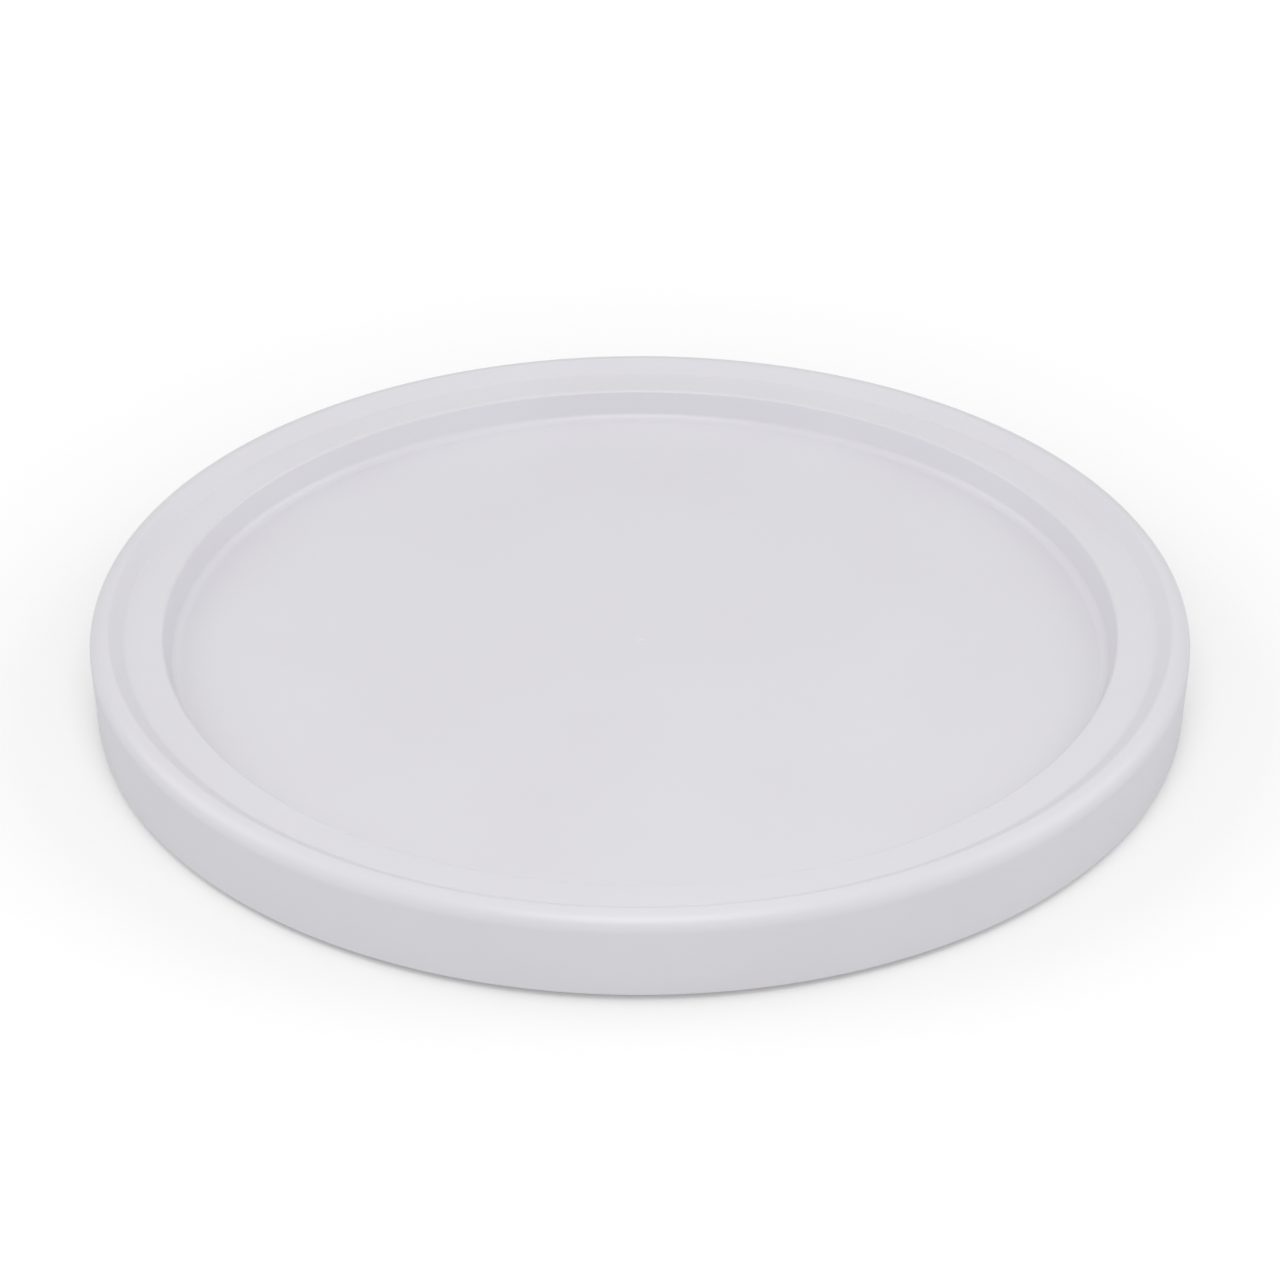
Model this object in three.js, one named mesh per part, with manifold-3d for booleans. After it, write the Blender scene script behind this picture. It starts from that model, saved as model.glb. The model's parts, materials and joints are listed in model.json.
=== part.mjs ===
// Lazy susan turntable: a round moulded tray with a sunken deck, which turns on a ring of steel balls
// over a low moulded base. A screw and a washer hold the base on the tray's centre boss.
// Units are millimetres and +Z is up. The origin is on the table, under the middle of the tray.
import * as THREE from "three";
import { mergeVertices } from "three/addons/utils/BufferGeometryUtils.js";
import Module from "manifold-3d";

const wasm = await Module();
wasm.setup();

// ---------------------------------------------------------------- driving dimensions

// Tray
const TRAY_DIAMETER = 305; // across the rim, before its edge is rounded
const OVERALL_HEIGHT = 26; // table to the top of the rim
const SKIRT_GAP = 2; // table to the lower edge of the skirt
const TRAY_WALL = 2.2; // moulded wall thickness
const RIM_WIDTH = 9.8; // outer face to the outer edge of the ledge
const RIM_TOP_WIDTH = 5.5; // outer face to the inner edge of the rim's top
const RIM_HEIGHT = 3.1; // ledge to the top of the rim
const LEDGE_WIDTH = 10.5;
const RECESS_DEPTH = 8.4; // ledge down to the deck
const RECESS_TAPER = 2.6; // how much further in the recess wall stands at its foot
const SKIRT_TAPER = 1.2; // how much further in the skirt stands at its lower edge
const RIM_OUTER_FILLET = 4.7;
const RIM_INNER_FILLET = 1.4;
const LEDGE_OUTER_FILLET = 2;
const LEDGE_INNER_FILLET = 0.9;
const RECESS_FILLET = 2.8;
const GATE_MARK_RADIUS = 0.9; // the small pit that the moulding gate leaves in the deck's middle
const GATE_MARK_DEPTH = 0.25;

// Stiffening ribs under the tray and on the base
const TRAY_RIBS = 12;
const TRAY_RIB_HEIGHT = 2.2;
const GUSSET_HEIGHT = 4.5; // the ribs between the recess wall and the skirt
const BASE_RIB_HEIGHT = 1.3;
const RIB_THICKNESS = 1.5;
const RIB_BITE = 0.5; // how far a rib reaches into what it joins

// Ball bearing
const BALL_DIAMETER = 8;
const BALL_COUNT = 12;
const RACE_RADIUS = 84; // centre of the turntable to the centre of a ball
const RACE_WIDTH = 11;
const RACE_OPENING = 4.8; // upper race ring to lower race ring
const RACE_CLEARANCE = 0.17; // ball to groove
const CAGE_WIDTH = 13;
const CAGE_THICKNESS = 3.2;
const POCKET_CLEARANCE = 0.25; // ball to the waist of its pocket
const POCKET_LIP = 0.1; // how much narrower than the ball a pocket's mouths are

// Base and feet
const BASE_DIAMETER = 224;
const BASE_THICKNESS = 2.4;
const BASE_LIP_HEIGHT = 4.2; // underside of the plate to the top of its lip
const BASE_LIP_WIDTH = 2;
const FOOT_COUNT = 6;
const FOOT_INSET = 11; // edge of the base to the middle of a foot
const FOOT_DIAMETER = 12;
const FOOT_THICKNESS = 2;
const FOOT_STANDOUT = 1; // how far a foot stands out of the base
const FOOT_CHAMFER = 0.35;
const FOOT_CLEARANCE = 0.15; // foot to its pocket

// Pivot
const BOSS_DIAMETER = 14;
const BOSS_CLEARANCE = 0.1; // the tray's boss to the bore of the base
const END_PLAY = 0.25; // washer to base
const HUB_DIAMETER = 40; // outside of the base's raised hub
const HUB_THICKNESS = 2.2;
const WASHER_DIAMETER = 24;
const WASHER_THICKNESS = 1.2;
const SEAT_GAP = 0.05; // between two faces that are clamped or glued together
const SCREW_DIAMETER = 3.8;
const SCREW_LENGTH = 9; // under the head
const SCREW_POINT = 1.6;
const SCREW_CLEARANCE = 0.15; // screw to washer and to boss
const HEAD_DIAMETER = 8;
const HEAD_HEIGHT = 2.4;
const HEAD_ROUNDING = 1.5;
const HEAD_TABLE_GAP = 0.9;
const DRIVE_WIDTH = 1.1; // cross slot in the screw's head
const DRIVE_LENGTH = 4.6;
const DRIVE_DEPTH = 1.4;

// Facets
const TRAY_SEGMENTS = 72; // round the tray, the base and the cage
const SMALL_SEGMENTS = 20; // round a screw, a foot or a pocket
const FILLET_CHORDS = 3;
const GROOVE_CHORDS = 6;
const BALL_SEGMENTS = 10;
const BALL_RINGS = 8;
const MERGE_DISTANCE = 1e-4; // corners closer than this are one corner

// ---------------------------------------------------------------- sizes that follow from them

const trayRadius = TRAY_DIAMETER / 2;
const ledgeZ = OVERALL_HEIGHT - RIM_HEIGHT;
const deckZ = ledgeZ - RECESS_DEPTH;
const deckUnderZ = deckZ - TRAY_WALL;
const ledgeOuter = trayRadius - RIM_WIDTH;
const ledgeInner = ledgeOuter - LEDGE_WIDTH;
const recessFoot = ledgeInner - RECESS_TAPER;

const baseRadius = BASE_DIAMETER / 2;
const baseUnderZ = FOOT_STANDOUT;
const plateTopZ = baseUnderZ + BASE_THICKNESS;
const footCircleRadius = baseRadius - FOOT_INSET;

const ballRadius = BALL_DIAMETER / 2;
const grooveRadius = ballRadius + RACE_CLEARANCE;
const ballZ = plateTopZ + grooveRadius;
const raceInner = RACE_RADIUS - RACE_WIDTH / 2;
const raceOuter = RACE_RADIUS + RACE_WIDTH / 2;

const bossRadius = BOSS_DIAMETER / 2;
const boreRadius = bossRadius + BOSS_CLEARANCE;
const hubRadius = HUB_DIAMETER / 2;
const headSeatZ = HEAD_TABLE_GAP + HEAD_HEIGHT;
const washerUnderZ = headSeatZ + SEAT_GAP;
const washerTopZ = washerUnderZ + WASHER_THICKNESS;
const bossEndZ = washerTopZ + SEAT_GAP;
const hubUnderZ = washerTopZ + END_PLAY;
const hubTopZ = hubUnderZ + HUB_THICKNESS;
const screwHoleRadius = SCREW_DIAMETER / 2 + SCREW_CLEARANCE;
const screwHoleEndZ = headSeatZ + SCREW_LENGTH + SCREW_CLEARANCE;

// ---------------------------------------------------------------- shape helpers

// An outline through corners [x, y, fillet radius]. A corner with a radius becomes an arc.
function outline(corners) {
  return corners.flatMap(([x, y, radius], i) => {
    const corner = new THREE.Vector2(x, y);
    if (!radius) return [corner];
    const back = new THREE.Vector2(...corners[i - 1]).sub(corner).normalize();
    const ahead = new THREE.Vector2(...corners[i + 1]).sub(corner).normalize();
    const halfAngle = Math.acos(back.dot(ahead)) / 2;
    const towardsMiddle = back.clone().add(ahead).setLength(radius / Math.sin(halfAngle));
    const middle = corner.clone().add(towardsMiddle);
    const reach = radius / Math.tan(halfAngle); // from the corner to where the arc meets the lines
    const start = corner.clone().addScaledVector(back, reach).sub(middle);
    const end = corner.clone().addScaledVector(ahead, reach).sub(middle);
    const clockwise = start.cross(end) < 0;
    return new THREE.EllipseCurve(
      middle.x,
      middle.y,
      radius,
      radius,
      start.angle(),
      end.angle(),
      clockwise,
    ).getPoints(FILLET_CHORDS);
  });
}

// A solid of revolution about +Z. Its outline of (radius, height) corners runs outwards along the
// underside and back inwards along the top.
function turned(corners, segments) {
  return new THREE.LatheGeometry(outline(corners), segments).rotateX(Math.PI / 2);
}

// A race groove in section, which curves round the ball. The upper one runs from its inner edge to
// its outer one (side 1), and the lower one back again (side -1).
function groove(side) {
  const edgeAngle = Math.asin(RACE_OPENING / 2 / grooveRadius);
  const sweep = Math.PI - 2 * edgeAngle;
  return Array.from({ length: GROOVE_CHORDS + 1 }, (_, i) => {
    const angle = edgeAngle + (sweep * i) / GROOVE_CHORDS;
    const outwards = -grooveRadius * Math.cos(angle);
    const upwards = grooveRadius * Math.sin(angle);
    return [RACE_RADIUS + side * outwards, ballZ + side * upwards];
  });
}

// A radial rib at an angle, from one radius to another and from one height to another.
function rib(angle, fromRadius, toRadius, fromZ, toZ) {
  return new THREE.BoxGeometry(toRadius - fromRadius, RIB_THICKNESS, toZ - fromZ)
    .translate((fromRadius + toRadius) / 2, 0, (fromZ + toZ) / 2)
    .rotateZ(angle);
}

// A closed geometry as a solid for joining and cutting.
function solid(geometry) {
  const bare = geometry.clone().deleteAttribute("normal").deleteAttribute("uv");
  const merged = mergeVertices(bare, MERGE_DISTANCE);
  return new wasm.Manifold(
    new wasm.Mesh({
      numProp: 3,
      vertProperties: merged.attributes.position.array,
      triVerts: new Uint32Array(merged.index.array),
    }),
  );
}

function geometryOf(whole) {
  const mesh = whole.getMesh();
  return new THREE.BufferGeometry()
    .setAttribute("position", new THREE.BufferAttribute(mesh.vertProperties, 3))
    .setIndex(new THREE.BufferAttribute(mesh.triVerts, 1))
    .toNonIndexed();
}

// The angles of count things spaced evenly round the axis.
function around(count, offset = 0) {
  return Array.from({ length: count }, (_, i) => offset + (i * 2 * Math.PI) / count);
}

// ---------------------------------------------------------------- materials

const whitePlastic = new THREE.MeshStandardMaterial({ color: 0xe9e8ea, roughness: 0.38, metalness: 0 });
const basePlastic = new THREE.MeshStandardMaterial({ color: 0xe3e2e3, roughness: 0.5, metalness: 0 });
const cagePlastic = new THREE.MeshStandardMaterial({ color: 0xd9d8d2, roughness: 0.55, metalness: 0 });
const ballSteel = new THREE.MeshStandardMaterial({ color: 0xc9cbce, roughness: 0.12, metalness: 1 });
const zincSteel = new THREE.MeshStandardMaterial({ color: 0xb9bbbd, roughness: 0.35, metalness: 1 });
const rubber = new THREE.MeshStandardMaterial({ color: 0xc4c4c3, roughness: 0.85, metalness: 0 });

// ---------------------------------------------------------------- tray

// One moulding: sunken deck, ledge, raised rim and skirt, with the upper race, the centre boss and
// stiffening ribs underneath.
function tray() {
  const ledgeUnderZ = ledgeZ - TRAY_WALL;
  const rimUnderZ = OVERALL_HEIGHT - TRAY_WALL;
  const rimTopInner = trayRadius - RIM_TOP_WIDTH;
  const skirtInside = trayRadius - TRAY_WALL;
  const recessOutside = ledgeInner + TRAY_WALL;
  const deckFlat = recessFoot - RECESS_FILLET;
  const raceFootZ = ballZ + RACE_OPENING / 2;
  const body = turned(
    [
      [0, screwHoleEndZ],
      [screwHoleRadius, screwHoleEndZ],
      [screwHoleRadius, bossEndZ],
      [bossRadius, bossEndZ],
      [bossRadius, deckUnderZ],
      [raceInner, deckUnderZ],
      [raceInner, raceFootZ],
      ...groove(1),
      [raceOuter, raceFootZ],
      [raceOuter, deckUnderZ],
      [recessFoot + TRAY_WALL, deckUnderZ, RECESS_FILLET + TRAY_WALL],
      [recessOutside, ledgeUnderZ],
      [ledgeOuter, ledgeUnderZ],
      [rimTopInner, rimUnderZ],
      [skirtInside, rimUnderZ, RIM_OUTER_FILLET - TRAY_WALL],
      [skirtInside - SKIRT_TAPER, SKIRT_GAP],
      [trayRadius - SKIRT_TAPER, SKIRT_GAP],
      [trayRadius, OVERALL_HEIGHT, RIM_OUTER_FILLET],
      [rimTopInner, OVERALL_HEIGHT, RIM_INNER_FILLET],
      [ledgeOuter, ledgeZ, LEDGE_OUTER_FILLET],
      [ledgeInner, ledgeZ, LEDGE_INNER_FILLET],
      [recessFoot, deckZ, RECESS_FILLET],
      [GATE_MARK_RADIUS, deckZ],
      [0, deckZ - GATE_MARK_DEPTH],
    ],
    TRAY_SEGMENTS,
  );
  const ribUnderZ = deckUnderZ - TRAY_RIB_HEIGHT;
  const ribTopZ = deckUnderZ + RIB_BITE;
  const gussetUnderZ = ledgeUnderZ - GUSSET_HEIGHT;
  const gussetTopZ = ledgeUnderZ + RIB_BITE;
  let whole = solid(body);
  for (const angle of around(TRAY_RIBS)) {
    const innerRib = rib(angle, bossRadius - RIB_BITE, raceInner + RIB_BITE, ribUnderZ, ribTopZ);
    const outerRib = rib(angle, raceOuter - RIB_BITE, deckFlat, ribUnderZ, ribTopZ);
    const gusset = rib(angle, ledgeInner + RIB_BITE, skirtInside + RIB_BITE, gussetUnderZ, gussetTopZ);
    whole = whole.add(solid(innerRib)).add(solid(outerRib)).add(solid(gusset));
  }
  return geometryOf(whole);
}

// ---------------------------------------------------------------- base

// One moulding: round plate with a lip, a raised hub whose bore the tray's boss turns in, the lower
// race, radial ribs, and a pocket for each foot.
function base() {
  const hubInside = hubRadius - HUB_THICKNESS;
  const raceTopZ = ballZ - RACE_OPENING / 2;
  const lipInside = baseRadius - BASE_LIP_WIDTH;
  const lipTopZ = baseUnderZ + BASE_LIP_HEIGHT;
  const body = turned(
    [
      [boreRadius, hubUnderZ],
      [hubInside, hubUnderZ],
      [hubInside, baseUnderZ],
      [baseRadius, baseUnderZ, BASE_LIP_WIDTH / 2],
      [baseRadius, lipTopZ],
      [lipInside, lipTopZ],
      [lipInside, plateTopZ],
      [raceOuter, plateTopZ],
      [raceOuter, raceTopZ],
      ...groove(-1),
      [raceInner, raceTopZ],
      [raceInner, plateTopZ],
      [hubRadius, plateTopZ],
      [hubRadius, hubTopZ],
      [boreRadius, hubTopZ],
      [boreRadius, hubUnderZ],
    ],
    TRAY_SEGMENTS,
  );
  let whole = solid(body);
  const ribFootZ = plateTopZ - RIB_BITE;
  const ribTopZ = plateTopZ + BASE_RIB_HEIGHT;
  for (const angle of around(FOOT_COUNT, Math.PI / FOOT_COUNT)) {
    const innerRib = rib(angle, hubRadius - RIB_BITE, raceInner + RIB_BITE, ribFootZ, ribTopZ);
    const outerRib = rib(angle, raceOuter - RIB_BITE, lipInside + RIB_BITE, ribFootZ, ribTopZ);
    whole = whole.add(solid(innerRib)).add(solid(outerRib));
  }
  const pocketDepth = FOOT_THICKNESS - FOOT_STANDOUT + SEAT_GAP;
  const pocketRadius = FOOT_DIAMETER / 2 + FOOT_CLEARANCE;
  for (const angle of around(FOOT_COUNT)) {
    const pocket = new THREE.CylinderGeometry(pocketRadius, pocketRadius, 2 * pocketDepth, SMALL_SEGMENTS)
      .rotateX(Math.PI / 2)
      .translate(footCircleRadius, 0, baseUnderZ)
      .rotateZ(angle);
    whole = whole.subtract(solid(pocket));
  }
  return geometryOf(whole);
}

// ---------------------------------------------------------------- bearing

// A flat ring that keeps the balls apart. A ball snaps into each waisted pocket.
function ballCage() {
  const inner = RACE_RADIUS - CAGE_WIDTH / 2;
  const outer = RACE_RADIUS + CAGE_WIDTH / 2;
  const half = CAGE_THICKNESS / 2;
  const ring = turned(
    [
      [inner, ballZ - half],
      [outer, ballZ - half],
      [outer, ballZ + half],
      [inner, ballZ + half],
      [inner, ballZ - half],
    ],
    TRAY_SEGMENTS,
  );
  const waist = ballRadius + POCKET_CLEARANCE;
  const mouth = ballRadius - POCKET_LIP;
  const pocket = turned(
    [
      [0, -CAGE_THICKNESS],
      [mouth, -CAGE_THICKNESS],
      [mouth, -half],
      [waist, 0],
      [mouth, half],
      [mouth, CAGE_THICKNESS],
      [0, CAGE_THICKNESS],
    ],
    SMALL_SEGMENTS,
  ).translate(RACE_RADIUS, 0, ballZ);
  let whole = solid(ring);
  for (const angle of around(BALL_COUNT)) {
    whole = whole.subtract(solid(pocket.clone().rotateZ(angle)));
  }
  return geometryOf(whole);
}

// A ball with its poles on the radial line that it rolls about.
function ball() {
  return new THREE.SphereGeometry(ballRadius, BALL_SEGMENTS, BALL_RINGS).rotateZ(Math.PI / 2);
}

// ---------------------------------------------------------------- pivot and feet

function washer() {
  return turned(
    [
      [screwHoleRadius, 0],
      [WASHER_DIAMETER / 2, 0],
      [WASHER_DIAMETER / 2, WASHER_THICKNESS],
      [screwHoleRadius, WASHER_THICKNESS],
      [screwHoleRadius, 0],
    ],
    SMALL_SEGMENTS,
  );
}

// A pan-head tapping screw with its head down and the seat of the head at z = 0.
function screw() {
  const shank = SCREW_DIAMETER / 2;
  const head = HEAD_DIAMETER / 2;
  const body = turned(
    [
      [0, -HEAD_HEIGHT],
      [head, -HEAD_HEIGHT, HEAD_ROUNDING],
      [head, 0],
      [shank, 0],
      [shank, SCREW_LENGTH - SCREW_POINT],
      [0, SCREW_LENGTH],
    ],
    SMALL_SEGMENTS,
  );
  const slot = new THREE.BoxGeometry(DRIVE_LENGTH, DRIVE_WIDTH, 2 * DRIVE_DEPTH);
  slot.translate(0, 0, -HEAD_HEIGHT);
  const crossSlot = slot.clone().rotateZ(Math.PI / 2);
  return geometryOf(solid(body).subtract(solid(slot)).subtract(solid(crossSlot)));
}

// A round rubber pad with a chamfered lower edge.
function foot() {
  const radius = FOOT_DIAMETER / 2;
  return turned(
    [
      [0, 0],
      [radius - FOOT_CHAMFER, 0],
      [radius, FOOT_CHAMFER],
      [radius, FOOT_THICKNESS],
      [0, FOOT_THICKNESS],
    ],
    SMALL_SEGMENTS,
  );
}

// ---------------------------------------------------------------- assembly

const turntable = new THREE.Group();

// Adds a named piece at a radius and a height, turned by an angle about the middle.
function add(name, geometry, material, radius = 0, z = 0, angle = 0) {
  const mesh = new THREE.Mesh(geometry, material);
  mesh.name = name;
  mesh.position.set(radius * Math.cos(angle), radius * Math.sin(angle), z);
  mesh.rotation.z = angle;
  turntable.add(mesh);
}

add("tray", tray(), whitePlastic);
add("base", base(), basePlastic);
add("ball_cage", ballCage(), cagePlastic);
around(BALL_COUNT).forEach((angle, i) => {
  add(`ball_${String(i + 1).padStart(2, "0")}`, ball(), ballSteel, RACE_RADIUS, ballZ, angle);
});
add("retaining_washer", washer(), zincSteel, 0, washerUnderZ);
add("pivot_screw", screw(), zincSteel, 0, headSeatZ);
around(FOOT_COUNT).forEach((angle, i) => {
  add(`foot_${i + 1}`, foot(), rubber, footCircleRadius, 0, angle);
});

export default turntable;
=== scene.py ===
import json
import math

import bmesh
import bpy
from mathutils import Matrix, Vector

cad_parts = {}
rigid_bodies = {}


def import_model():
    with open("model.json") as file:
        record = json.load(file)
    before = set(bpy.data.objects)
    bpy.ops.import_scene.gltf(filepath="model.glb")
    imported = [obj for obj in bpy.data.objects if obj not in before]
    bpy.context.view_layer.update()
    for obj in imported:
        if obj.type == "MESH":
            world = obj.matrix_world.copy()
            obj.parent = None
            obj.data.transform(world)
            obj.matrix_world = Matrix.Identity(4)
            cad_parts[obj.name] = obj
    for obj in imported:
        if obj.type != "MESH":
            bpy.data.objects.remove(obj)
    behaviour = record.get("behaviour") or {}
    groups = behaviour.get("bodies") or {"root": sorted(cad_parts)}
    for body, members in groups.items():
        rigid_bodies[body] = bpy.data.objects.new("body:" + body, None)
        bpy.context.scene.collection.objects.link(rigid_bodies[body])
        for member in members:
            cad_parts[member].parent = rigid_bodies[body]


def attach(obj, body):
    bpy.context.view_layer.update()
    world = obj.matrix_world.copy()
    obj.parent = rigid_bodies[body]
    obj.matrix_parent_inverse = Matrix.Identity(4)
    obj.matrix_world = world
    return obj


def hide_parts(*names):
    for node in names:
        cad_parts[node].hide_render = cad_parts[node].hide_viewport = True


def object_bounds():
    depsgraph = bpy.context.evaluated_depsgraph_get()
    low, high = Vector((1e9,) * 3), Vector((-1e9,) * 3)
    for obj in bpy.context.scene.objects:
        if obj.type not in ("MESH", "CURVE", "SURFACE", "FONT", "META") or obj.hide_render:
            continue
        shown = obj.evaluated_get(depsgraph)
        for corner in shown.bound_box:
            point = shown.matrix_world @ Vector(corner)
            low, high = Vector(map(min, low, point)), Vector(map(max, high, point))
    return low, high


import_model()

cad_low, cad_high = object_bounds()
bpy.ops.object.select_all(action="DESELECT")
scene = bpy.context.scene


# ---------------------------------------------------------------- camera
# A long lens stands well back and looks down on the front of the turntable from about thirty
# degrees, so the far side of the tray is only a little smaller than the near side.

MM = 0.001
rim_middle = Vector((0, 0, cad_high.z))
camera_distance = 1.25
camera_rise = math.radians(30.85)  # of the camera, seen from the middle of the rim
camera_dip = math.radians(31.29)  # of the lens, a little more, so the tray sits above the middle
camera_offset = Vector((0, -math.cos(camera_rise), math.sin(camera_rise))) * camera_distance
bpy.ops.object.camera_add(
    location=rim_middle + camera_offset,
    rotation=(math.pi / 2 - camera_dip, 0, 0),
)
camera = bpy.context.object
camera.data.sensor_width = 36
camera.data.lens = 126.6
scene.camera = camera


# ---------------------------------------------------------------- tray
# The tray is one injection moulding in white polypropylene: a flat sunken deck, a narrow ledge round
# it, a raised rim with a rounded outer edge, and a skirt that hides the base. Underneath it carries
# the upper race, the centre boss, and thin ribs that keep the deck flat.


def turned_piece(name, section, sides):
    """A round piece, extruded ring by ring through its section's (radius, height, rounding) corners.

    A section that starts on the axis begins with a disc and is closed at the axis. Any other is a
    ring, and its last edge is bridged to its first."""
    on_axis = section[0][0] == 0
    first = section[1] if on_axis else section[0]
    bpy.ops.mesh.primitive_circle_add(
        vertices=sides,
        radius=first[0],
        location=(0, 0, first[1]),
        fill_type="TRIFAN" if on_axis else "NOTHING",
    )
    piece = bpy.context.object
    piece.name = name
    bpy.ops.object.transform_apply(location=True, rotation=True, scale=True)
    bpy.ops.object.mode_set(mode="EDIT")
    bpy.ops.mesh.select_mode(type="EDGE")
    if on_axis:
        for corner in bmesh.from_edit_mesh(piece.data).verts:
            if corner.co.xy.length < first[0] / 2:
                corner.co.z = section[0][1]
        bpy.ops.mesh.select_all(action="DESELECT")
        bpy.ops.mesh.select_non_manifold()
    corners = section[2:-1] if on_axis else section[1:]
    radius, height = first[:2]
    for corner in corners:
        bpy.ops.mesh.extrude_edges_move(
            TRANSFORM_OT_translate={"value": (0, 0, corner[1] - height)}
        )
        growth = corner[0] / radius
        bpy.ops.transform.resize(value=(growth, growth, 1), center_override=(0, 0, 0))
        radius, height = corner[:2]
    if on_axis:
        bpy.ops.mesh.extrude_edges_move(
            TRANSFORM_OT_translate={"value": (0, 0, section[-1][1] - height)}
        )
        bpy.ops.mesh.merge(type="CENTER")
    else:
        bpy.ops.mesh.select_all(action="DESELECT")
        bpy.ops.mesh.select_non_manifold()
        bpy.ops.mesh.bridge_edge_loops()
    for i, corner in enumerate(section):
        if len(corner) == 3:
            round_edge(corner, section[i - 1], section[(i + 1) % len(section)])
    bpy.ops.mesh.select_all(action="SELECT")
    bpy.ops.mesh.normals_make_consistent(inside=False)
    bpy.ops.object.mode_set(mode="OBJECT")
    return piece


def round_edge(corner, before, after):
    """Bevels the ring of edges at one corner of a section to that corner's rounding."""
    near = 0.002 * MM
    edited = bpy.context.object.data
    bpy.ops.mesh.select_all(action="DESELECT")
    mesh = bmesh.from_edit_mesh(edited)
    for edge in mesh.edges:
        ends = [Vector((v.co.xy.length, v.co.z)) for v in edge.verts]
        if all((end - Vector(corner[:2])).length < near for end in ends):
            edge.select_set(True)
    bmesh.update_edit_mesh(edited)
    back = Vector(before[:2]) - Vector(corner[:2])
    ahead = Vector(after[:2]) - Vector(corner[:2])
    reach = corner[2] / math.tan(back.angle(ahead) / 2)
    steps = 8 if corner[2] > MM else 4
    bpy.ops.mesh.bevel(offset_type="OFFSET", offset=reach, segments=steps, profile=0.5, affect="EDGES")


def pick(piece):
    """Makes a piece the active one, and the only one selected."""
    bpy.ops.object.select_all(action="DESELECT")
    bpy.context.view_layer.objects.active = piece
    piece.select_set(True)


def add_ribs(piece, count, first_angle, spans):
    """Adds ribs to a piece, as boxes between two radii and two heights, and repeats them round it."""
    thickness = 1.5 * MM
    pick(piece)
    bpy.ops.object.mode_set(mode="EDIT")
    for inner, outer, low, high in spans:
        bpy.ops.mesh.select_all(action="DESELECT")
        middle = (inner + outer) / 2
        bpy.ops.mesh.primitive_cube_add(
            size=1,
            location=(middle * math.cos(first_angle), middle * math.sin(first_angle), (low + high) / 2),
            rotation=(0, 0, first_angle),
            scale=(outer - inner, thickness, high - low),
        )
        bpy.ops.mesh.bevel(offset=0.25 * MM, segments=2, affect="EDGES")
        bpy.ops.mesh.select_linked()
        bpy.ops.mesh.spin(
            steps=count - 1,
            dupli=True,
            angle=2 * math.pi * (count - 1) / count,
            center=(0, 0, 0),
            axis=(0, 0, 1),
        )
    bpy.ops.object.mode_set(mode="OBJECT")


def smooth(piece):
    """Shades a piece smooth but for its sharp edges, and keeps its flats flat right up to them."""
    pick(piece)
    bpy.ops.object.shade_smooth_by_angle(angle=math.radians(35))
    bpy.ops.object.modifier_add(type="WEIGHTED_NORMAL")
    piece.modifiers[-1].keep_sharp = True
    bpy.ops.object.modifier_apply(modifier=piece.modifiers[-1].name)
    piece.select_set(False)


def linear(hex_colour):
    """A colour written as sRGB hex, as the linear RGBA that a shader takes."""
    parts = [int(hex_colour[i : i + 2], 16) / 255 for i in (1, 3, 5)]
    return [p / 12.92 if p <= 0.04045 else ((p + 0.055) / 1.055) ** 2.4 for p in parts] + [1]


def add_node(tree, kind, inputs=None, **settings):
    """Adds a node, with its settings, and with each input either set or linked from a socket."""
    made = tree.nodes.new(kind)
    for key, value in settings.items():
        setattr(made, key, value)
    for key, value in (inputs or {}).items():
        if isinstance(value, bpy.types.NodeSocket):
            tree.links.new(value, made.inputs[key])
        else:
            made.inputs[key].default_value = value
    return made


rim_top = cad_high.z
ledge = rim_top - 3.1 * MM
deck = ledge - 8.4 * MM
wall = 2.2 * MM
deck_under = deck - wall
ledge_under = ledge - wall
rim_under = rim_top - wall
outside = 152.5 * MM
skirt_inside = outside - wall
skirt_draft = 1.2 * MM
skirt_foot = 2 * MM
rim_inside = 147 * MM
ledge_outer = 142.7 * MM
ledge_inner = 132.2 * MM
recess_foot = 129.6 * MM
rim_rounding = 4.7 * MM
recess_fillet = 2.8 * MM

ball_size = 8 * MM
race_radius = 84 * MM
race_inner = 78.5 * MM
race_outer = 89.5 * MM
ball_clearance = 0.17 * MM
groove_size = ball_size / 2 + ball_clearance
race_bottom = 3.4 * MM
ball_height = race_bottom + groove_size
half_opening = 2.4 * MM


def groove(side):
    """A race groove's corners: the upper one's outwards (side 1), or the lower one's inwards (-1)."""
    steps = 12
    edge_angle = math.asin(half_opening / groove_size)
    for i in range(steps + 1):
        angle = edge_angle + (math.pi - 2 * edge_angle) * i / steps
        outwards = -side * groove_size * math.cos(angle)
        yield (race_radius + outwards, ball_height + side * groove_size * math.sin(angle))


hole_top = 12.45 * MM
hole_radius = 2.05 * MM
boss_radius = 7 * MM
boss_end = 4.6 * MM
edge_break = 0.3 * MM
race_foot = ball_height + half_opening
gate_mark_radius = 0.9 * MM
gate_mark_floor = 0.6 * MM
gate_mark_depth = 0.25 * MM

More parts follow.
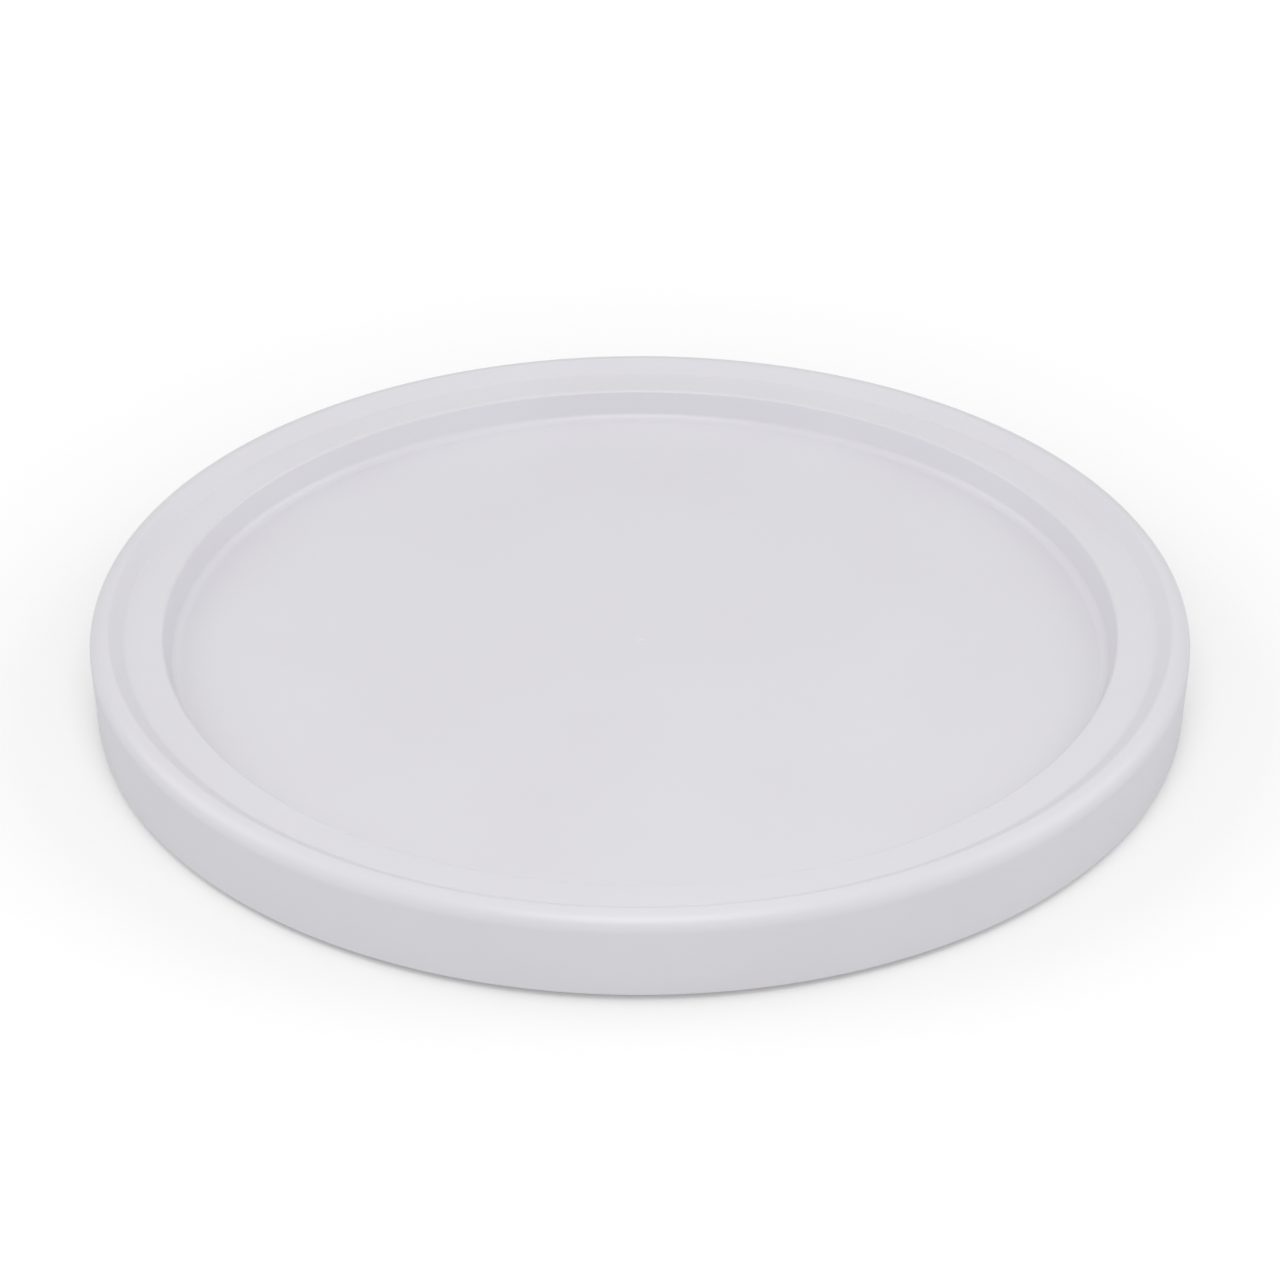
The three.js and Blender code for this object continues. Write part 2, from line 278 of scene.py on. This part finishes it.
tray = turned_piece(
    "tray_moulding",
    [
        (0, deck - gate_mark_depth),
        (gate_mark_floor, deck - gate_mark_depth),
        (gate_mark_radius, deck),
        (recess_foot, deck, recess_fillet),
        (ledge_inner, ledge, 0.9 * MM),
        (ledge_outer, ledge, 2 * MM),
        (rim_inside, rim_top, 1.4 * MM),
        (outside, rim_top, rim_rounding),
        (outside - skirt_draft, skirt_foot, edge_break),
        (skirt_inside - skirt_draft, skirt_foot, edge_break),
        (skirt_inside, rim_under, rim_rounding - wall),
        (rim_inside, rim_under),
        (ledge_outer, ledge_under),
        (ledge_inner + wall, ledge_under, edge_break),
        (recess_foot + wall, deck_under, recess_fillet + wall),
        (race_outer, deck_under, edge_break),
        (race_outer, race_foot, edge_break),
        *reversed(list(groove(1))),
        (race_inner, race_foot, edge_break),
        (race_inner, deck_under, edge_break),
        (boss_radius, deck_under, edge_break),
        (boss_radius, boss_end, edge_break),
        (hole_radius, boss_end),
        (hole_radius, hole_top),
        (0, hole_top),
    ],
    sides=256,
)
rib_bite = 0.5 * MM
ribs = 12
ribs_end = recess_foot - 3 * MM
rib_low = deck_under - 2.2 * MM
gusset_low = ledge_under - 4.5 * MM
add_ribs(
    tray,
    ribs,
    0,
    [
        (boss_radius - rib_bite, race_inner + rib_bite, rib_low, deck_under + rib_bite),
        (race_outer - rib_bite, ribs_end, rib_low, deck_under + rib_bite),
        (ledge_inner + rib_bite, skirt_inside + rib_bite, gusset_low, ledge_under + rib_bite),
    ],
)
smooth(tray)

# Polypropylene homopolymer, moulded against a finely sparked steel tool. To the eye it is a cool
# white with a soft satin sheen, faintly uneven where the melt cooled. The tool's spark pits are a tenth
# of a millimetre across, and are drawn at nearly a millimetre so that they show.
polypropylene = bpy.data.materials.new("satin white polypropylene")
polypropylene.use_nodes = True
tree = polypropylene.node_tree
shader = tree.nodes["Principled BSDF"]
place = add_node(tree, "ShaderNodeTexCoord")
cooling = add_node(
    tree,
    "ShaderNodeTexNoise",
    {"Vector": place.outputs["Object"], "Scale": 1 / (45 * MM), "Detail": 2, "Roughness": 0.4},
)
sparking = add_node(
    tree,
    "ShaderNodeTexNoise",
    {"Vector": place.outputs["Object"], "Scale": 1 / (0.9 * MM), "Detail": 3, "Roughness": 0.6},
)
tint = add_node(
    tree,
    "ShaderNodeMix",
    {"Factor": cooling.outputs["Fac"], "A": linear("#dfdde3"), "B": linear("#e3e2e7")},
    data_type="RGBA",
)
sheen = add_node(
    tree,
    "ShaderNodeMapRange",
    {"Value": cooling.outputs["Fac"], "To Min": 0.3, "To Max": 0.37},
)
grain = add_node(
    tree,
    "ShaderNodeBump",
    {"Height": sparking.outputs["Fac"], "Strength": 0.25, "Distance": 0.03 * MM},
)
tree.links.new(tint.outputs["Result"], shader.inputs["Base Color"])
tree.links.new(sheen.outputs["Result"], shader.inputs["Roughness"])
tree.links.new(grain.outputs["Normal"], shader.inputs["Normal"])
shader.inputs["IOR"].default_value = 1.49
tray.data.materials.append(polypropylene)
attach(tray, "tray")
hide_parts("tray")


# ---------------------------------------------------------------- base
# The base is a second polypropylene moulding, a little greyer: a round plate with a low lip, the lower
# race, radial ribs, a raised hub whose bore the tray's boss turns in, and a pocket for each foot. The
# mould's ejector pins leave six faint round marks in its underside.

base_under = 1 * MM
plate_top = race_bottom
base_edge = 112 * MM
lip_inside = 110 * MM
lip_top = 5.2 * MM
race_top = ball_height - half_opening
hub_outside = 20 * MM
hub_inside = 17.8 * MM
hub_under = 4.8 * MM
hub_top = 7 * MM
bore = 7.1 * MM

base = turned_piece(
    "base_moulding",
    [
        (bore, hub_under, edge_break),
        (hub_inside, hub_under),
        (hub_inside, base_under, edge_break),
        (base_edge, base_under, 1 * MM),
        (base_edge, lip_top, 0.6 * MM),
        (lip_inside, lip_top, 0.6 * MM),
        (lip_inside, plate_top),
        (race_outer, plate_top),
        (race_outer, race_top, edge_break),
        *groove(-1),
        (race_inner, race_top, edge_break),
        (race_inner, plate_top),
        (hub_outside, plate_top),
        (hub_outside, hub_top, edge_break),
        (bore, hub_top, edge_break),
    ],
    sides=192,
)


def cut_away(piece, cutter):
    """Cuts a cutter's shape out of a piece, and takes the cutter away."""
    pick(piece)
    bpy.ops.object.modifier_add(type="BOOLEAN")
    piece.modifiers[-1].operation = "DIFFERENCE"
    piece.modifiers[-1].object = cutter
    bpy.ops.object.modifier_apply(modifier=piece.modifiers[-1].name)
    bpy.data.objects.remove(cutter)


def sink_pockets(piece, count, first_angle, circle, radius, depth):
    """Cuts a ring of round pockets of a depth up into the underside of the base."""
    for i in range(count):
        angle = first_angle + 2 * math.pi * i / count
        bpy.ops.mesh.primitive_cylinder_add(
            vertices=48,
            radius=radius,
            depth=2 * depth,
            location=(circle * math.cos(angle), circle * math.sin(angle), base_under),
        )
        cut_away(piece, bpy.context.object)


foot_circle = 101 * MM
foot_radius = 6 * MM
foot_height = 2 * MM
feet = 6
pocket_radius = foot_radius + 0.15 * MM
pocket_depth = 1.05 * MM
sink_pockets(base, feet, 0, foot_circle, pocket_radius, pocket_depth)
pin_mark_circle = 52 * MM
pin_mark_radius = 4 * MM
pin_mark_depth = 0.08 * MM
sink_pockets(base, feet, math.pi / feet, pin_mark_circle, pin_mark_radius, pin_mark_depth)
base_rib_low = plate_top - rib_bite
base_rib_high = plate_top + 1.3 * MM
add_ribs(
    base,
    feet,
    math.pi / feet,
    [
        (hub_outside - rib_bite, race_inner + rib_bite, base_rib_low, base_rib_high),
        (race_outer - rib_bite, lip_inside + rib_bite, base_rib_low, base_rib_high),
    ],
)
smooth(base)

# The same resin from a plainer, less polished tool. It reads as a duller, slightly warmer white with
# faint flow rings round the hub, where the melt spread from the middle. Its even texture is drawn at
# 0.6 mm, several times as coarse as the real one, so that it shows.
matt_plastic = bpy.data.materials.new("matt white polypropylene")
matt_plastic.use_nodes = True
tree = matt_plastic.node_tree
shader = tree.nodes["Principled BSDF"]
place = add_node(tree, "ShaderNodeTexCoord")
ring_spacing = 12 * MM
flow = add_node(
    tree,
    "ShaderNodeTexWave",
    {
        "Vector": place.outputs["Object"],
        "Scale": math.pi / 10 / ring_spacing,
        "Distortion": 3,
        "Detail": 2,
        "Detail Scale": 1.5,
    },
    wave_type="RINGS",
    rings_direction="Z",
)
texture = add_node(
    tree,
    "ShaderNodeTexNoise",
    {"Vector": place.outputs["Object"], "Scale": 1 / (0.6 * MM), "Detail": 3, "Roughness": 0.65},
)
tint = add_node(
    tree,
    "ShaderNodeMix",
    {"Factor": flow.outputs["Fac"], "A": linear("#d8d6d5"), "B": linear("#dad8d7")},
    data_type="RGBA",
)
sheen = add_node(
    tree,
    "ShaderNodeMapRange",
    {"Value": texture.outputs["Fac"], "To Min": 0.46, "To Max": 0.58},
)
grain = add_node(
    tree,
    "ShaderNodeBump",
    {"Height": texture.outputs["Fac"], "Strength": 0.35, "Distance": 0.04 * MM},
)
tree.links.new(tint.outputs["Result"], shader.inputs["Base Color"])
tree.links.new(sheen.outputs["Result"], shader.inputs["Roughness"])
tree.links.new(grain.outputs["Normal"], shader.inputs["Normal"])
shader.inputs["IOR"].default_value = 1.49
base.data.materials.append(matt_plastic)
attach(base, "base")
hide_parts("base")


# ---------------------------------------------------------------- ball cage
# The cage is a thin acetal ring that keeps the twelve balls apart. Each ball snaps into a pocket that
# is waisted at half height, so neither mouth lets it out.

cage_half = 1.6 * MM
cage_inner = 77.5 * MM
cage_outer = 90.5 * MM
balls = 12
ball_radius = ball_size / 2

cage = turned_piece(
    "cage_ring",
    [
        (cage_inner, ball_height - cage_half, edge_break),
        (cage_outer, ball_height - cage_half, edge_break),
        (cage_outer, ball_height + cage_half, edge_break),
        (cage_inner, ball_height + cage_half, edge_break),
    ],
    sides=192,
)
pocket_mouth = ball_radius - 0.1 * MM
pocket_waist = ball_radius + 0.25 * MM
mouth_reach = 0.6 * MM
for i in range(balls):
    angle = 2 * math.pi * i / balls
    pocket_cutter = turned_piece(
        "pocket_cutter",
        [
            (0, -cage_half - mouth_reach),
            (pocket_mouth + mouth_reach, -cage_half - mouth_reach),
            (pocket_mouth, -cage_half),
            (pocket_waist, 0),
            (pocket_mouth, cage_half),
            (pocket_mouth + mouth_reach, cage_half + mouth_reach),
            (0, cage_half + mouth_reach),
        ],
        sides=48,
    )
    pocket_cutter.location = (race_radius * math.cos(angle), race_radius * math.sin(angle), ball_height)
    cut_away(cage, pocket_cutter)
smooth(cage)

# Natural acetal copolymer. It is a creamier, waxier white than the two mouldings, slightly
# translucent, with faint cloudiness.
acetal = bpy.data.materials.new("natural acetal")
acetal.use_nodes = True
tree = acetal.node_tree
shader = tree.nodes["Principled BSDF"]
place = add_node(tree, "ShaderNodeTexCoord")
clouds = add_node(
    tree,
    "ShaderNodeTexNoise",
    {"Vector": place.outputs["Object"], "Scale": 1 / (6 * MM), "Detail": 3, "Roughness": 0.55},
)
scuffs = add_node(
    tree,
    "ShaderNodeTexNoise",
    {"Vector": place.outputs["Object"], "Scale": 1 / (0.4 * MM), "Detail": 2},
)
tint = add_node(
    tree,
    "ShaderNodeMix",
    {"Factor": clouds.outputs["Fac"], "A": linear("#cfccc0"), "B": linear("#d9d7cd")},
    data_type="RGBA",
)
sheen = add_node(
    tree,
    "ShaderNodeMapRange",
    {"Value": clouds.outputs["Fac"], "To Min": 0.4, "To Max": 0.55},
)
grain = add_node(
    tree,
    "ShaderNodeBump",
    {"Height": scuffs.outputs["Fac"], "Strength": 0.2, "Distance": 0.02 * MM},
)
tree.links.new(tint.outputs["Result"], shader.inputs["Base Color"])
tree.links.new(sheen.outputs["Result"], shader.inputs["Roughness"])
tree.links.new(grain.outputs["Normal"], shader.inputs["Normal"])
shader.inputs["IOR"].default_value = 1.48
shader.inputs["Subsurface Weight"].default_value = 0.15
shader.inputs["Subsurface Scale"].default_value = 1 * MM
cage.data.materials.append(acetal)
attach(cage, "cage")
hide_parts("ball_cage")


# ---------------------------------------------------------------- balls
# Twelve hardened chrome-steel balls, ground and lapped. Each rolls between the races and turns about
# the radial line through its pocket.

# Bearing steel under a film of light oil: a near mirror, with hairline scratches from rolling in
# plastic races that carry dust. The scratches are drawn at a quarter of a millimetre so that they show.
chrome_steel = bpy.data.materials.new("lapped bearing steel")
chrome_steel.use_nodes = True
tree = chrome_steel.node_tree
shader = tree.nodes["Principled BSDF"]
place = add_node(tree, "ShaderNodeTexCoord")
film = add_node(
    tree,
    "ShaderNodeTexNoise",
    {"Vector": place.outputs["Object"], "Scale": 1 / (3 * MM), "Detail": 3, "Roughness": 0.6},
)
scratches = add_node(
    tree,
    "ShaderNodeTexNoise",
    {"Vector": place.outputs["Object"], "Scale": 1 / (0.25 * MM), "Detail": 4, "Distortion": 1.5},
)
tint = add_node(
    tree,
    "ShaderNodeMix",
    {"Factor": film.outputs["Fac"], "A": linear("#b9bbbf"), "B": linear("#cbcccd")},
    data_type="RGBA",
)
sheen = add_node(
    tree,
    "ShaderNodeMapRange",
    {"Value": film.outputs["Fac"], "To Min": 0.07, "To Max": 0.2},
)
grain = add_node(
    tree,
    "ShaderNodeBump",
    {"Height": scratches.outputs["Fac"], "Strength": 0.08, "Distance": 0.01 * MM},
)
tree.links.new(tint.outputs["Result"], shader.inputs["Base Color"])
tree.links.new(sheen.outputs["Result"], shader.inputs["Roughness"])
tree.links.new(grain.outputs["Normal"], shader.inputs["Normal"])
shader.inputs["Metallic"].default_value = 1

bpy.ops.mesh.primitive_ico_sphere_add(
    subdivisions=4,
    radius=ball_radius,
    location=(race_radius, 0, ball_height),
)
ball = bpy.context.object
bpy.ops.object.transform_apply(location=True, rotation=True, scale=True)
bpy.ops.object.mode_set(mode="EDIT")
bpy.ops.mesh.select_all(action="SELECT")
bpy.ops.mesh.subdivide(number_cuts=1)
bpy.ops.transform.tosphere(value=1, center_override=(race_radius, 0, ball_height))
bpy.ops.object.mode_set(mode="OBJECT")
bpy.ops.object.shade_smooth()
ball.data.materials.append(chrome_steel)
bpy.ops.object.select_all(action="DESELECT")


def place_copy(first, name, angle):
    """A copy of a piece with its own mesh, turned by an angle about the middle of the turntable."""
    copy = first.copy()
    copy.data = first.data.copy()
    copy.name = name
    scene.collection.objects.link(copy)
    pick(copy)
    copy.rotation_euler.z = angle
    bpy.ops.object.transform_apply(location=False, rotation=True, scale=False)
    copy.select_set(False)
    return copy


for i in range(balls):
    number = f"{i + 1:02d}"
    rolling = place_copy(ball, f"steel_ball_{number}", 2 * math.pi * i / balls)
    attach(rolling, f"ball_{number}")
    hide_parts(f"ball_{number}")
bpy.data.objects.remove(ball)


# ---------------------------------------------------------------- retaining washer and pivot screw
# A blanked steel washer and a pan-head tapping screw, driven up into the tray's boss, hold the base on
# the tray. Both are turned or stamped in mild steel and zinc plated.

washer_under = 3.35 * MM
washer_top = 4.55 * MM
washer_radius = 12 * MM
washer = turned_piece(
    "washer_disc",
    [
        (hole_radius, washer_under, 0.15 * MM),
        (washer_radius, washer_under, 0.25 * MM),
        (washer_radius, washer_top, 0.15 * MM),
        (hole_radius, washer_top, 0.15 * MM),
    ],
    sides=96,
)
smooth(washer)

head_seat = 3.3 * MM
head_under = 0.9 * MM
head_radius = 4 * MM
shank_radius = 1.9 * MM
thread_end = head_seat + 7.4 * MM
screw_tip = head_seat + 9 * MM
screw = turned_piece(
    "screw_body",
    [
        (0, screw_tip),
        (0.3 * MM, screw_tip - 0.1 * MM),
        (shank_radius, thread_end),
        (shank_radius, head_seat),
        (head_radius, head_seat, 0.15 * MM),
        (head_radius, head_under, 1.5 * MM),
        (0.8 * MM, head_under),
        (0, head_under),
    ],
    sides=64,
)
drive_depth = 1.4 * MM
drive_width = 1.1 * MM
drive_length = 4.6 * MM
drive_narrowing = (0.72, 0.8, 1)
for turn in (0, math.pi / 2):
    bpy.ops.mesh.primitive_cube_add(
        size=1,
        location=(0, 0, head_under),
        rotation=(0, 0, turn),
        scale=(drive_length, drive_width, 2 * drive_depth),
    )
    drive_cutter = bpy.context.object
    bpy.ops.object.mode_set(mode="EDIT")
    bpy.ops.mesh.select_all(action="DESELECT")
    mesh = bmesh.from_edit_mesh(drive_cutter.data)
    for corner in mesh.verts:
        corner.select_set(corner.co.z > 0)
    mesh.select_flush(True)
    bmesh.update_edit_mesh(drive_cutter.data)
    drive_end = (0, 0, head_under + drive_depth)
    bpy.ops.transform.resize(value=drive_narrowing, center_override=drive_end)
    bpy.ops.object.mode_set(mode="OBJECT")
    cut_away(screw, drive_cutter)
smooth(screw)

# Bright zinc on mild steel, passivated. A bluish grey metal, crystalline and slightly blotchy, with a
# soft rather than sharp shine.
zinc = bpy.data.materials.new("bright zinc plate")
zinc.use_nodes = True
tree = zinc.node_tree
shader = tree.nodes["Principled BSDF"]
place = add_node(tree, "ShaderNodeTexCoord")
crystals = add_node(
    tree,
    "ShaderNodeTexVoronoi",
    {"Vector": place.outputs["Object"], "Scale": 1 / (0.8 * MM)},
)
blotches = add_node(
    tree,
    "ShaderNodeTexNoise",
    {"Vector": place.outputs["Object"], "Scale": 1 / (4 * MM), "Detail": 4, "Roughness": 0.6},
)
tint = add_node(
    tree,
    "ShaderNodeMix",
    {"Factor": blotches.outputs["Fac"], "A": linear("#a3a7ab"), "B": linear("#bdbfc0")},
    data_type="RGBA",
)
sheen = add_node(
    tree,
    "ShaderNodeMapRange",
    {"Value": blotches.outputs["Fac"], "To Min": 0.26, "To Max": 0.44},
)
grain = add_node(
    tree,
    "ShaderNodeBump",
    {"Height": crystals.outputs["Distance"], "Strength": 0.12, "Distance": 0.02 * MM},
)
tree.links.new(tint.outputs["Result"], shader.inputs["Base Color"])
tree.links.new(sheen.outputs["Result"], shader.inputs["Roughness"])
tree.links.new(grain.outputs["Normal"], shader.inputs["Normal"])
shader.inputs["Metallic"].default_value = 1
for piece, node in ((washer, "retaining_washer"), (screw, "pivot_screw")):
    piece.data.materials.append(zinc)
    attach(piece, "tray")
    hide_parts(node)


# ---------------------------------------------------------------- feet
# Six die-cut pads of pale grey thermoplastic rubber, glued into the base's pockets. They stand one
# millimetre proud of it and keep it from sliding.

foot = turned_piece(
    "foot_pad",
    [
        (0, 0),
        (foot_radius / 2, 0),
        (foot_radius, 0, 0.4 * MM),
        (foot_radius, foot_height, edge_break),
        (foot_radius / 2, foot_height),
        (0, foot_height),
    ],
    sides=64,
)
smooth(foot)
pick(foot)
foot.location.x = foot_circle
bpy.ops.object.transform_apply(location=True, rotation=False, scale=False)
foot.select_set(False)

# Thermoplastic rubber, dull and slightly grubby, with a fine tooth that picks up dust.
rubber = bpy.data.materials.new("pale grey rubber")
rubber.use_nodes = True
tree = rubber.node_tree
shader = tree.nodes["Principled BSDF"]
place = add_node(tree, "ShaderNodeTexCoord")
dust = add_node(
    tree,
    "ShaderNodeTexNoise",
    {"Vector": place.outputs["Object"], "Scale": 1 / (3 * MM), "Detail": 4, "Roughness": 0.65},
)
tooth = add_node(
    tree,
    "ShaderNodeTexNoise",
    {"Vector": place.outputs["Object"], "Scale": 1 / (0.3 * MM), "Detail": 3},
)
tint = add_node(
    tree,
    "ShaderNodeMix",
    {"Factor": dust.outputs["Fac"], "A": linear("#a9a9a7"), "B": linear("#b8b8b5")},
    data_type="RGBA",
)
sheen = add_node(
    tree,
    "ShaderNodeMapRange",
    {"Value": dust.outputs["Fac"], "To Min": 0.78, "To Max": 0.92},
)
grain = add_node(
    tree,
    "ShaderNodeBump",
    {"Height": tooth.outputs["Fac"], "Strength": 0.4, "Distance": 0.04 * MM},
)
tree.links.new(tint.outputs["Result"], shader.inputs["Base Color"])
tree.links.new(sheen.outputs["Result"], shader.inputs["Roughness"])
tree.links.new(grain.outputs["Normal"], shader.inputs["Normal"])
shader.inputs["IOR"].default_value = 1.5
foot.data.materials.append(rubber)
for i in range(feet):
    pad = place_copy(foot, f"foot_pad_{i + 1}", 2 * math.pi * i / feet)
    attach(pad, "base")
    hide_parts(f"foot_{i + 1}")
bpy.data.objects.remove(foot)


# ---------------------------------------------------------------- floor and light
# A pale table in a white studio, lit softly from all round, with a large soft light high in front
# and another at each side. The table glows for the lens alone, and casts back little of that light.
# Its glow is weaker near the turntable and stronger farther out, which is a painted shade round it.

bpy.ops.mesh.primitive_plane_add(size=8)
floor = bpy.context.object
floor.name = "floor"
table_white = bpy.data.materials.new("white table")
table_white.use_nodes = True
table_tree = table_white.node_tree
table_shader = table_tree.nodes["Principled BSDF"]
table_shader.inputs["Base Color"].default_value = linear("#dadada")
table_shader.inputs["Roughness"].default_value = 0.9
table_shader.inputs["Emission Color"].default_value = linear("#ffffff")
table_place = add_node(table_tree, "ShaderNodeTexCoord")
from_middle = add_node(
    table_tree,
    "ShaderNodeVectorMath",
    {0: table_place.outputs["Object"]},
    operation="LENGTH",
)
glow_start = 0.15
glow_end = 0.4
# Painted shade: the glow rises from 0.265 near the turntable to 0.47 farther out, so the floor round it
# reads darker.
glow_with_painted_shade = add_node(
    table_tree,
    "ShaderNodeMapRange",
    {
        "Value": from_middle.outputs["Value"],
        "From Min": glow_start,
        "From Max": glow_end,
        "To Min": 0.265,
        "To Max": 0.47,
    },
)
seen = add_node(table_tree, "ShaderNodeLightPath")
glow = add_node(
    table_tree,
    "ShaderNodeMapRange",
    {"Value": seen.outputs["Is Camera Ray"], "To Min": 0.06, "To Max": glow_with_painted_shade.outputs["Result"]},
)
table_tree.links.new(glow.outputs["Result"], table_shader.inputs["Emission Strength"])
floor.data.materials.append(table_white)

bpy.ops.object.light_add(type="AREA", location=(0, -0.95, 1.33), rotation=(math.radians(36), 0, 0))
softbox = bpy.context.object
softbox.data.shape = "SQUARE"
softbox.data.size = 1
softbox.data.energy = 9.2
for side in (-1, 1):
    bpy.ops.object.light_add(
        type="AREA",
        location=(1.5 * side, 0.3, 1),
        rotation=(0, math.radians(56) * side, 0),
    )
    side_softbox = bpy.context.object
    side_softbox.data.shape = "SQUARE"
    side_softbox.data.size = 1.2
    side_softbox.data.energy = 6

world = bpy.data.worlds.new("studio")
scene.world = world
world.use_nodes = True
world.node_tree.nodes["Background"].inputs["Color"].default_value = linear("#ffffff")
world.node_tree.nodes["Background"].inputs["Strength"].default_value = 0.545
scene.view_settings.view_transform = "Standard"
